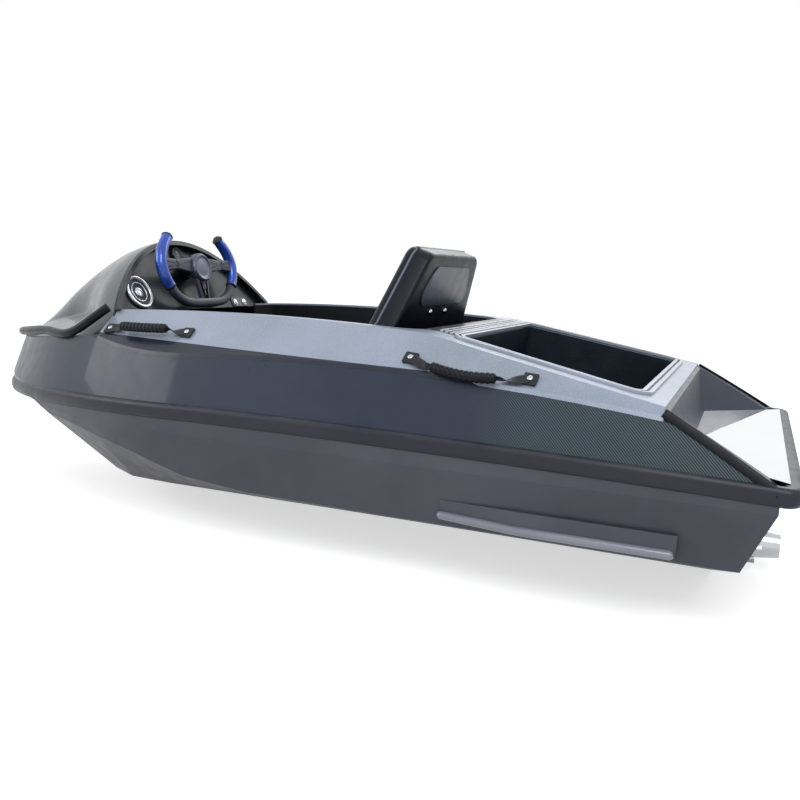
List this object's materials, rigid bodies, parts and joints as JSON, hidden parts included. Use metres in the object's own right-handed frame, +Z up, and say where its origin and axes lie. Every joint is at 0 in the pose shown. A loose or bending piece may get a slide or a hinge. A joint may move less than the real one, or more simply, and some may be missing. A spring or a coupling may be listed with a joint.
{
  "type": "water kart",
  "caption": "Water kart: a small jet boat with an open kart cockpit, domed hood, steering wheel with grips, bucket seat, open rear tub and a steering jet nozzle.",
  "frame": {"origin": "on the floor under the middle of the boat, at the foot of the keel pad", "axes": "+X to the bow, +Y to port, +Z up"},
  "size_m": [2.58, 1.18, 0.832],
  "materials": {
    "hull_shell": "gloss",
    "deck_dark": "gloss",
    "deck_silver": "satin metallic",
    "deck_panel": "gloss",
    "rubber_black": "satin",
    "liner_black": "satin",
    "hood_gloss": "gloss",
    "dash_black": "satin",
    "instrument_silver": "satin",
    "wheel_black": "satin",
    "grip_blue": "satin",
    "seat_vinyl": "satin",
    "seat_shell": "gloss",
    "fastener": "brushed",
    "jet_cast": "cast",
    "impeller_steel": "polished",
    "shaft_steel": "ground",
    "engine_metal": "cast"
  },
  "bodies": {
    "boat": {"hull": "hull_shell", "sponsons": "hull_shell", "deck_moulding": "deck_dark", "side_decks": "deck_silver", "cockpit_coaming": "deck_panel", "rear_deck": "deck_silver", "stern_floor": "deck_panel", "bumper": "rubber_black", "cockpit_liner": "liner_black", "rear_tub": "liner_black", "tub_frame": "deck_panel", "deck_ribs": "deck_silver", "hood": "hood_gloss", "hood_trim": "rubber_black", "dash_panel": "dash_black", "dash_rim": "dash_black", "column_boss": "dash_black", "speaker": "instrument_silver", "gauge": "instrument_silver", "switches": "instrument_silver", "seat_base": "liner_black", "seat_cushion": "seat_vinyl", "backrest_foot": "seat_shell", "backrest_shell": "seat_shell", "backrest_cushion": "seat_vinyl", "backrest_panel": "seat_shell", "seat_bolts": "fastener", "handle_plates": "fastener", "front_handles": "rubber_black", "rear_handles": "rubber_black", "pump_housing": "jet_cast", "jet_outlet": "jet_cast", "flange_bolts": "fastener", "intake_grate": "fastener", "engine_block": "engine_metal"},
    "wheel": {"steering_wheel": "wheel_black", "wheel_grips": "grip_blue", "grip_caps": "wheel_black", "hub_disc": "wheel_black", "steering_shaft": "shaft_steel"},
    "nozzle": {"steering_nozzle": "jet_cast"},
    "impeller": {"impeller": "impeller_steel", "drive_shaft": "shaft_steel"}
  },
  "joints": [
    {"name": "steering", "type": "hinge", "parent": "boat", "child": "wheel", "pos_m": [0.52, 0, 0.717], "axis": [0.9724, 0, -0.2334], "range_deg": [-110, 110]},
    {"name": "nozzle_steering", "type": "hinge", "parent": "boat", "child": "nozzle", "pos_m": [-1.212, 0, 0.078], "axis": [0, 0, 1], "range_deg": [-22, 22]},
    {"name": "impeller_spin", "type": "hinge", "parent": "boat", "child": "impeller", "pos_m": [-1.05, 0, 0.078], "axis": [1, 0, 0], "continuous": true}
  ],
  "couplings": [
    {"joint": "nozzle_steering", "follows": "steering", "ratio": 0.2}
  ]
}
